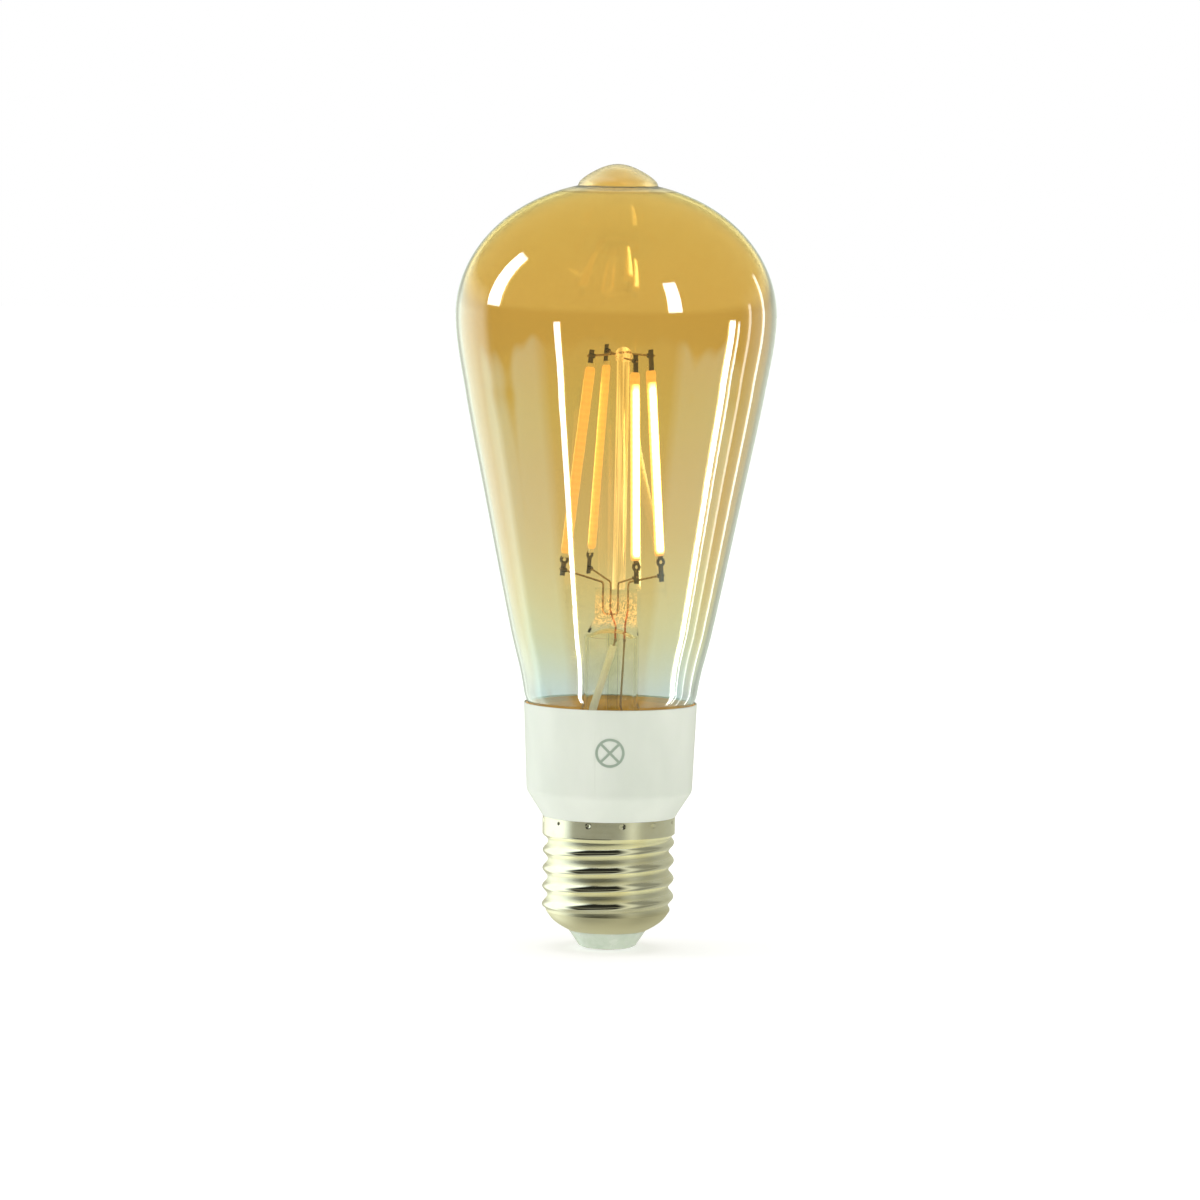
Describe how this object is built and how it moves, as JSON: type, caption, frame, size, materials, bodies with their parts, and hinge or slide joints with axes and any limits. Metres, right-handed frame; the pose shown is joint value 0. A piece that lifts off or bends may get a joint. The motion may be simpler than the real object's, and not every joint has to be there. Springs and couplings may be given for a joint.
{
  "type": "smart light bulb",
  "caption": "Screw-in smart filament lamp: gold-coated pear-shaped glass, LED filament cage, white plastic collar with driver and radio boards, threaded metal cap.",
  "frame": {"origin": "centre of the bottom contact's face, on the lamp's axis", "axes": "+Z along the lamp's axis to the glass tip, +X to the right, -Y to the front, where the symbol on the collar faces"},
  "size_m": [0.064, 0.064, 0.157],
  "materials": {
    "coated_glass": "thin blown glass with a gold film that fades out towards the neck",
    "clear_glass": "clear lead glass, fire polished",
    "nickel_wire": "drawn nickel wire",
    "seal_copper": "copper-coated seal wire, red where glass covers it",
    "sleeve_plastic": "clear extruded sleeve",
    "filament_substrate": "fired alumina strip",
    "led_die": "polished die",
    "phosphor": "silicone filled with yellow-orange phosphor, lit from inside",
    "filament_tab": "stamped nickel-iron strip",
    "collar_plastic": "moulded white polycarbonate, fine satin",
    "symbol_ink": "pad-printed grey ink",
    "cement": "amber silicone basing cement",
    "nickel_shell": "rolled brass sheet, bright nickel plate",
    "insulator_plastic": "moulded translucent white insulator",
    "contact_metal": "nickel-plated brass rivet",
    "board_laminate": "glass-epoxy laminate with green mask",
    "package_black": "moulded epoxy package",
    "capacitor_can": "drawn aluminium can",
    "capacitor_film": "heat-shrunk film",
    "capacitor_box": "dipped epoxy coat",
    "ferrite": "sintered ferrite",
    "copper_winding": "enamelled copper wire",
    "resistor_coat": "flameproof lacquer",
    "chip_ceramic": "fired chip with tinned ends",
    "shield_steel": "tin-plated steel can",
    "antenna_gold": "gold-flashed copper trace",
    "header_plastic": "moulded nylon",
    "live_insulation": "brown lead insulation",
    "neutral_insulation": "blue lead insulation"
  },
  "bodies": {
    "root": {"basing_cement": "cement", "bridge_rectifier": "package_black", "bridge_wire": "nickel_wire", "bulk_capacitor": "capacitor_can", "capacitor_sleeve": "capacitor_film", "center_contact": "contact_metal", "chip_capacitors": "chip_ceramic", "chip_resistors": "chip_ceramic", "collar": "collar_plastic", "contact_insulator": "insulator_plastic", "cross_wire_back_front": "nickel_wire", "cross_wire_left_right": "nickel_wire", "driver_board": "board_laminate", "driver_chip": "package_black", "exhaust_tube": "clear_glass", "filament_back_bottom_tab": "filament_tab", "filament_back_dies": "led_die", "filament_back_phosphor": "phosphor", "filament_back_substrate": "filament_substrate", "filament_back_top_tab": "filament_tab", "filament_front_bottom_tab": "filament_tab", "filament_front_dies": "led_die", "filament_front_phosphor": "phosphor", "filament_front_substrate": "filament_substrate", "filament_front_top_tab": "filament_tab", "filament_left_bottom_tab": "filament_tab", "filament_left_dies": "led_die", "filament_left_phosphor": "phosphor", "filament_left_substrate": "filament_substrate", "filament_left_top_tab": "filament_tab", "filament_right_bottom_tab": "filament_tab", "filament_right_dies": "led_die", "filament_right_phosphor": "phosphor", "filament_right_substrate": "filament_substrate", "filament_right_top_tab": "filament_tab", "film_capacitor": "capacitor_box", "fusible_resistor": "resistor_coat", "glass_envelope": "coated_glass", "inductor_core": "ferrite", "inductor_winding": "copper_winding", "lamp_symbol": "symbol_ink", "lead_sleeve": "sleeve_plastic", "lead_wire_back": "nickel_wire", "lead_wire_right": "nickel_wire", "live_wire": "live_insulation", "neutral_wire": "neutral_insulation", "outer_lead_back": "nickel_wire", "outer_lead_right": "nickel_wire", "pin_header": "header_plastic", "radio_antenna": "antenna_gold", "radio_board": "board_laminate", "radio_shield": "shield_steel", "screw_shell": "nickel_shell", "seal_wire_back": "seal_copper", "seal_wire_right": "seal_copper", "stem_flare": "clear_glass", "support_rod": "clear_glass"}
  },
  "joints": []
}
